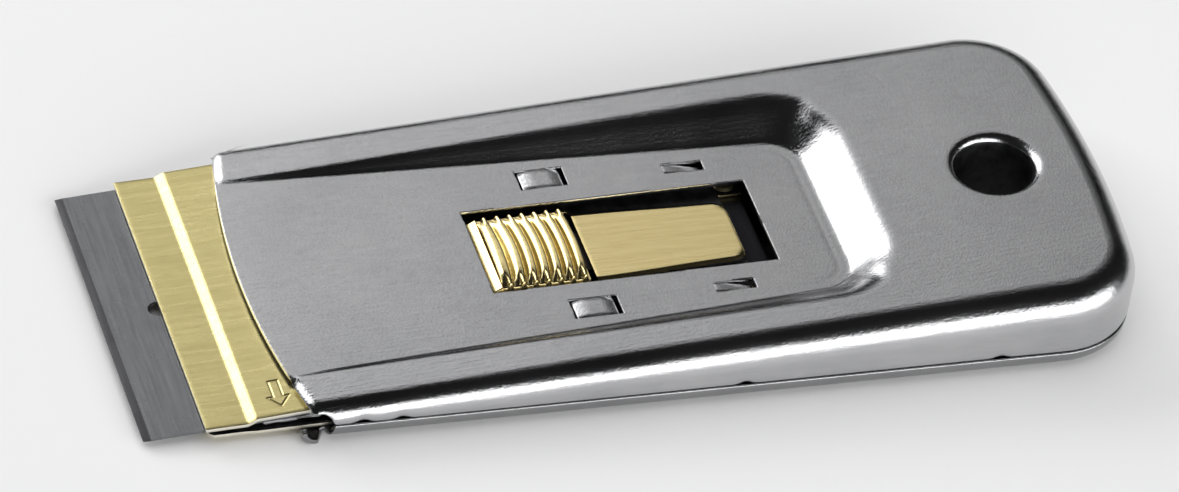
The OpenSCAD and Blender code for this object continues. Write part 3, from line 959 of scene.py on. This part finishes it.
def nickel(name, painted_shade_factor):
    """Plated sheet steel: fine grain, faint polishing marks, slightly uneven gloss. The factor darkens the
    colour as painted shade.
    """
    m = Nodes(name)
    here = m.where.outputs["Vector"]
    grain = m.noise(here, 4.2, 4)
    patches = m.noise(here, 0.09, 3)
    marks = m.noise(m.stretched(0.25, 3.4, 1.6), 1.3, 5, 0.65)
    rings = m.add("ShaderNodeTexWave", vector=m.stretched(1, 1, 1), wave_type="RINGS")
    rings.inputs["Scale"].default_value = 0.55
    rings.inputs["Distortion"].default_value = 3.5
    rings.inputs["Detail"].default_value = 2.0
    swirl = m.math("MULTIPLY", rings.outputs["Fac"], 0.12)
    height = m.math("ADD", m.math("ADD", grain, m.math("MULTIPLY", marks, 0.5)), swirl)
    wear = m.math("ADD", m.math("MULTIPLY", patches, 0.6), m.math("MULTIPLY", marks, 0.4))
    tone = m.mix(m.span(wear, 0, 1),
                 [painted_shade_factor * c for c in (0.45, 0.452, 0.462)], [painted_shade_factor * c for c in (0.57, 0.57, 0.578)])
    gloss = m.math("ADD", m.math("MULTIPLY", grain, 0.5), m.math("MULTIPLY", patches, 0.5))
    rough = m.span(gloss, 0.15, 0.24)
    return m.surface(tone, rough, height, 0.03)


def brushed_brass(name, dull, bright, rough_low, rough_high, depth):
    """Brass-coloured sheet, finely brushed along the length."""
    m = Nodes(name)
    here = m.where.outputs["Vector"]
    lines_fine = m.noise(m.stretched(0.35, 9.0, 4.0), 1.0, 4, 0.6)
    lines_wide = m.noise(m.stretched(0.06, 1.6, 1.0), 1.0, 3, 0.5)
    grain = m.noise(here, 5.0, 2)
    blend = m.math("ADD", m.math("MULTIPLY", lines_fine, 0.6), m.math("MULTIPLY", lines_wide, 0.4))
    tone = m.mix(m.span(blend, 0, 1), dull, bright)
    rough = m.span(blend, rough_high, rough_low)
    height = m.math("ADD", lines_fine, m.math("MULTIPLY", grain, 0.5))
    return m.surface(tone, rough, height, depth)


def ground_steel(name, dark, light, rough_low, rough_high, depth):
    """Ground strip steel with streaks along the blade's width."""
    m = Nodes(name)
    here = m.where.outputs["Vector"]
    streaks = m.noise(m.stretched(3.2, 0.12, 3.2), 1.0, 5, 0.65)
    cloud = m.noise(here, 0.16, 3)
    fine = m.noise(m.stretched(9.0, 1.2, 9.0), 1.0, 2)
    blend = m.math("ADD", m.math("MULTIPLY", streaks, 0.6), m.math("MULTIPLY", cloud, 0.4))
    tone = m.mix(m.span(blend, 0, 1), dark, light)
    rough = m.span(cloud, rough_low, rough_high)
    height = m.math("ADD", streaks, m.math("MULTIPLY", fine, 0.6))
    return m.surface(tone, rough, height, depth)


def floor_material():
    mat = bpy.data.materials.new("pale_floor")
    mat.use_nodes = True
    bsdf = mat.node_tree.nodes["Principled BSDF"]
    bsdf.inputs["Base Color"].default_value = (0.9, 0.9, 0.9, 1)
    bsdf.inputs["Roughness"].default_value = 0.85
    bsdf.inputs["Specular IOR Level"].default_value = 0.1
    return mat


def paint_cad(node, material):
    """Finish for a design node that is shown as it is."""
    for obj in bpy.data.objects:
        if obj.type == "MESH" and obj.name == node:
            obj.data.materials.clear()
            obj.data.materials.append(material)


# ---------------------------------------------------------------- stage

def panel(name, azimuth, elevation, distance, width, height, radiance):
    """A soft light facing the scraper; azimuth 0 is +X, 90 is +Y."""
    a, e = math.radians(azimuth), math.radians(elevation)
    away = Vector((math.cos(e) * math.cos(a), math.cos(e) * math.sin(a), math.sin(e)))
    data = bpy.data.lights.new(name, "AREA")
    data.shape = "RECTANGLE"
    data.size = width
    data.size_y = height
    data.energy = radiance * math.pi * width * height
    obj = bpy.data.objects.new(name, data)
    obj.location = away * distance
    obj.rotation_euler = away.to_track_quat("Z", "Y").to_euler()
    obj.visible_camera = False
    bpy.context.scene.collection.objects.link(obj)
    return obj


def make_world():
    """A nearly dark room, so that the metal shows the panels and nothing else."""
    world = bpy.data.worlds.new("studio")
    world.use_nodes = True
    background = world.node_tree.nodes["Background"]
    background.inputs["Color"].default_value = (1, 1, 1, 1)
    background.inputs["Strength"].default_value = 0.012
    bpy.context.scene.world = world
    bpy.context.scene.view_settings.view_transform = "Standard"


def make_stage():
    make_world()
    bpy.ops.mesh.primitive_plane_add(size=6)
    floor = bpy.context.active_object
    floor.name = "floor"
    floor.data.materials.append(floor_material())
    panel("near_light", -66, 20.5, 0.9, 1.8, 0.52, 3.4)
    panel("left_light", 124, 24, 0.9, 0.72, 0.66, 3.6)
    # the broad light beyond the scraper dims step by step towards the butt
    for k, radiance in enumerate((0.92, 0.9, 0.85, 0.74, 0.62, 0.5, 0.33, 0.2)):
        panel(f"far_light_{k}", 102 - 8 * k, 40, 0.45, 0.05, 0.24, radiance)
    floor_light = panel("floor_light", 90, 85, 1.3, 1.6, 1.6, 1.25)
    floor_light.visible_glossy = False


def make_camera():
    data = bpy.data.cameras.new("camera")
    data.lens = 263.11
    data.sensor_width = 36
    data.sensor_fit = "HORIZONTAL"
    data.clip_start = 0.05
    obj = bpy.data.objects.new("camera", data)
    azimuth, elevation, roll = math.radians(22.213), math.radians(40.333), math.radians(8.836)
    distance = 906.147
    target = Vector((-1.806, -0.111, 4.074))
    forward = Vector((math.cos(elevation) * math.sin(azimuth), math.cos(elevation) * math.cos(azimuth),
                      -math.sin(elevation)))
    level = forward.cross(Vector((0, 0, 1))).normalized()
    up = level.cross(forward)
    right = math.cos(roll) * level + math.sin(roll) * up
    up = right.cross(forward)
    turn = Matrix((right, up, -forward)).transposed()
    obj.matrix_world = Matrix.Translation((target - forward * distance) * MM) @ turn.to_4x4()
    bpy.context.scene.collection.objects.link(obj)
    bpy.context.scene.camera = obj


def main():
    # inside is painted shade, the dark material for faces that lie in shadow
    inside = painted_shade_inside()
    cut_edge = brushed_brass("cut_edge", (0.66, 0.63, 0.54), (0.88, 0.85, 0.75), 0.45, 0.6, 0.006)
    plate = (nickel("nickel_plate", 1.0), inside)
    brass = brushed_brass("brass_sheet", (0.62, 0.53, 0.23), (0.78, 0.68, 0.33), 0.24, 0.36, 0.01)
    # a lighter, glossier copy of the brass: painted light on the carrier's tail and the thumb slide
    painted_light_brass = brushed_brass("brass_bright", (0.82, 0.66, 0.29), (0.96, 0.8, 0.42), 0.16, 0.26, 0.005)
    blade = ground_steel("blade_steel", (0.14, 0.145, 0.15), (0.26, 0.268, 0.28), 0.22, 0.34, 0.008)
    # a darker copy of the blade steel for the honed bevel: painted shade
    painted_shade_bevel = ground_steel("honed_bevel_painted_shade", (0.05, 0.05, 0.055), (0.1, 0.1, 0.105), 0.2, 0.3, 0.004)
    spine = ground_steel("spine_steel", (0.62, 0.62, 0.64), (0.86, 0.86, 0.88), 0.16, 0.3, 0.01)
    # nearly black: painted shade on the spring that lies in shadow under the slide
    spring = ground_steel("spring_steel", (0.012, 0.012, 0.015), (0.03, 0.03, 0.034), 0.35, 0.5, 0.008)
    rivets = brushed_brass("rivet_metal", (0.5, 0.42, 0.24), (0.72, 0.62, 0.38), 0.3, 0.45, 0.008)
    make_top_shell(plate)
    # the bottom shell's plating at 0.62 of its colour is painted shade, and its inner side takes the
    # painted shade inside
    make_bottom_shell((nickel("nickel_plate_painted_shade", 0.62), inside))
    make_upper_leaf((brass, inside, cut_edge, painted_light_brass))
    make_lower_leaf((inside, brass, cut_edge))
    make_blade((blade, painted_shade_bevel))
    make_spine(spine)
    make_thumb_slide(painted_light_brass)
    paint_cad("leaf_rivets", rivets)
    paint_cad("spring_rivets", rivets)
    paint_cad("thumb_spring", spring)
    make_stage()
    make_camera()


main()
